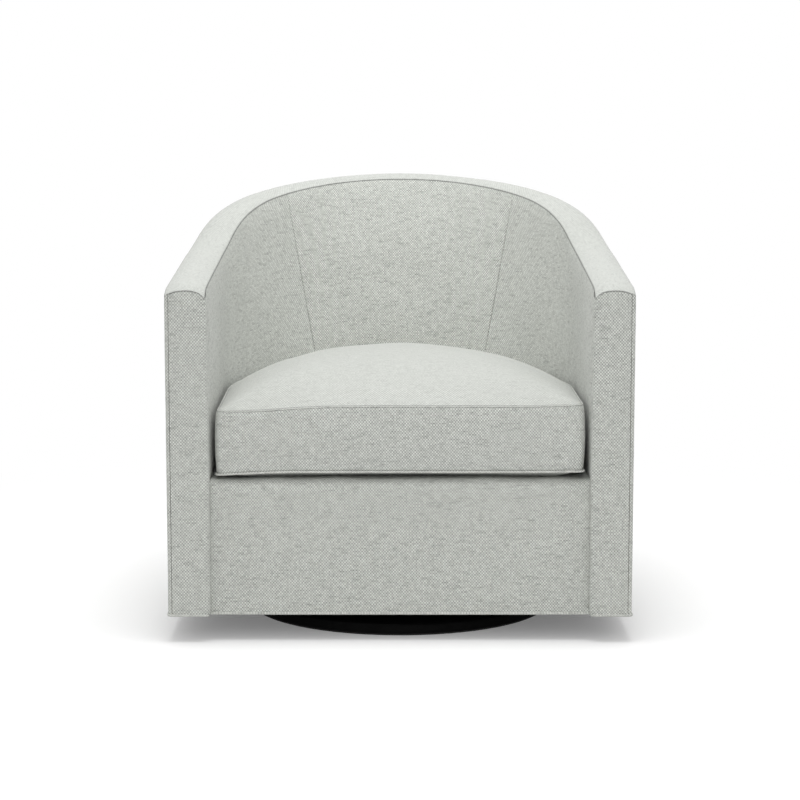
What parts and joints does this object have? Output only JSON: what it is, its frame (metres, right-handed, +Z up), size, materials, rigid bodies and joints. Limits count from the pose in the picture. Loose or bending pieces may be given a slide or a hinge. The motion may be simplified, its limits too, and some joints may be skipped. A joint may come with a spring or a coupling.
{
  "type": "swivel barrel chair",
  "caption": "Upholstered barrel chair on a round swivel base, with a loose crowned seat cushion and a top line that sweeps up from the arms to the back.",
  "frame": {"origin": "on the swivel axis, at the underside of the felt pad on the floor", "axes": "+Z up along the swivel axis, the arm fronts face -Y, the back is at +Y, left as seen from the front is -X"},
  "size_m": [0.7906, 0.8085, 0.7687],
  "materials": {
    "weave": "matte",
    "cushion_weave": "matte",
    "welt": "matte",
    "foam": "matte",
    "deck_fabric": "matte",
    "felt": "matte",
    "black_wood": "satin",
    "wood": "matte",
    "fibreboard": "matte",
    "zinc_steel": "satin",
    "bearing_steel": "polished",
    "cage_plastic": "matte",
    "zipper_tape": "matte"
  },
  "bodies": {
    "base": {"floor_pad": "felt", "base_disc": "black_wood", "lower_swivel_plate": "zinc_steel", "pivot_pin": "zinc_steel", "plate_screws": "zinc_steel"},
    "bearing": {"bearing_balls": "bearing_steel", "ball_cage": "cage_plastic"},
    "chair": {"upper_swivel_plate": "zinc_steel", "plate_bolts": "zinc_steel", "tee_nuts": "zinc_steel", "bottom_board": "wood", "front_rail": "wood", "arm_post_left": "wood", "arm_post_right": "wood", "seat_ring": "wood", "corner_blocks": "wood", "back_posts": "wood", "arm_rail_left": "wood", "arm_rail_right": "wood", "back_rail": "wood", "seat_springs": "zinc_steel", "spring_clips": "zinc_steel", "deck_cloth": "deck_fabric", "deck_pad": "foam", "front_cover": "weave", "outside_board": "fibreboard", "outside_cover": "weave", "arm_panel_left": "weave", "arm_panel_right": "weave", "top_band": "weave", "band_pad": "foam", "hem_welt": "welt", "dust_cover": "deck_fabric", "inside_back_pad": "foam", "inside_arm_pad_left": "foam", "inside_arm_pad_right": "foam", "inside_back_cover": "weave", "inside_arm_cover_left": "weave", "inside_arm_cover_right": "weave"},
    "cushion": {"cushion_bottom_panel": "cushion_weave", "cushion_boxing_panel": "cushion_weave", "cushion_top_panel": "cushion_weave", "cushion_core": "foam", "cushion_top_welt": "welt", "cushion_bottom_welt": "welt", "cushion_zipper": "zipper_tape", "zipper_slider": "zinc_steel"}
  },
  "joints": [
    {"name": "seat_swivel", "type": "hinge", "parent": "base", "child": "chair", "pos_m": [0, 0, 0.033], "axis": [0, 0, 1], "continuous": true},
    {"name": "cage_turn", "type": "hinge", "parent": "base", "child": "bearing", "pos_m": [0, 0, 0.033], "axis": [0, 0, 1], "continuous": true},
    {"name": "cushion_lift", "type": "slide", "parent": "chair", "child": "cushion", "axis": [0, 0, 1], "range_m": [0, 0.5]}
  ],
  "couplings": [
    {"joint": "cage_turn", "follows": "seat_swivel", "ratio": 0.5}
  ]
}
